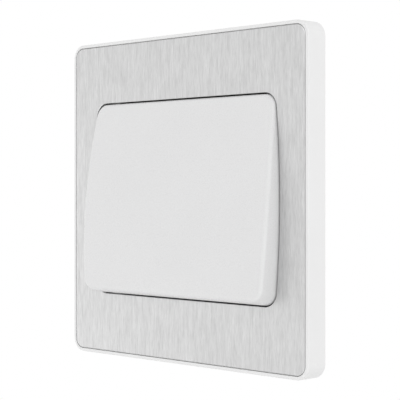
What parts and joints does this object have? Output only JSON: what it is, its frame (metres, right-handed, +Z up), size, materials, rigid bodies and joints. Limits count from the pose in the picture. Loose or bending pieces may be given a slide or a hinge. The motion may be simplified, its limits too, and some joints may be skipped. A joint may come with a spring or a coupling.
{
  "type": "rocker light switch",
  "caption": "Square one-gang wall switch: white frame with a brushed steel trim and one wide white rocker, over a screw-fixed inner plate that carries the changeover mechanism.",
  "frame": {"origin": "midway between the two fixing screws, on the wall's surface", "axes": "+X to the right as seen from the room, +Y into the wall, +Z up"},
  "size_m": [0.095, 0.034, 0.095],
  "materials": {
    "white_plastic": "satin white",
    "white_gloss_plastic": "satin white",
    "brushed_steel": "fine vertical brush",
    "inner_plastic": "matt white",
    "support_plastic": "matt graphite",
    "housing_plastic": "matt pale grey",
    "plunger_plastic": "natural nylon",
    "spring_steel": "bright wire",
    "plated_screw": "bright zinc plate",
    "brass": "drawn brass",
    "silver_contact": "silver alloy"
  },
  "bodies": {
    "base": {"inner_plate": "support_plastic", "fixing_screws": "plated_screw", "mechanism_housing": "housing_plastic", "rear_cover": "housing_plastic", "housing_screws": "plated_screw", "common_terminal": "brass", "upper_terminal": "brass", "lower_terminal": "brass", "terminal_screws": "plated_screw", "earth_terminal": "brass", "earth_screw": "plated_screw", "upper_fixed_contact": "silver_contact", "lower_fixed_contact": "silver_contact"},
    "front_plate": {"front_frame": "white_plastic", "steel_trim": "brushed_steel"},
    "rocker": {"rocker_cap": "white_gloss_plastic", "rocker_carrier": "inner_plastic", "plunger_spring": "spring_steel"},
    "plunger": {"plunger": "plunger_plastic"},
    "contact_arm": {"moving_contact": "brass", "upper_contact_tip": "silver_contact", "lower_contact_tip": "silver_contact"}
  },
  "joints": [
    {"name": "rocker_tilt", "type": "hinge", "parent": "base", "child": "rocker", "pos_m": [0, -0.0045, 0], "axis": [1, 0, 0], "range_deg": [0, 12]},
    {"name": "contact_rock", "type": "hinge", "parent": "base", "child": "contact_arm", "pos_m": [0, 0.014, 0], "axis": [1, 0, 0], "range_deg": [-18, 0]},
    {"name": "plunger_slide", "type": "slide", "parent": "rocker", "child": "plunger", "axis": [0, -0.9945, 0.1045], "range_m": [0, 0.001], "stiffness_N_per_m": 300, "springref_m": -0.002, "deforming": ["plunger_spring"]},
    {"name": "plate_pull", "type": "slide", "parent": "base", "child": "front_plate", "axis": [0, -1, 0], "range_m": [0, 0.02]}
  ],
  "couplings": [
    {"joint": "contact_rock", "follows": "rocker_tilt", "ratio": -1.5}
  ]
}
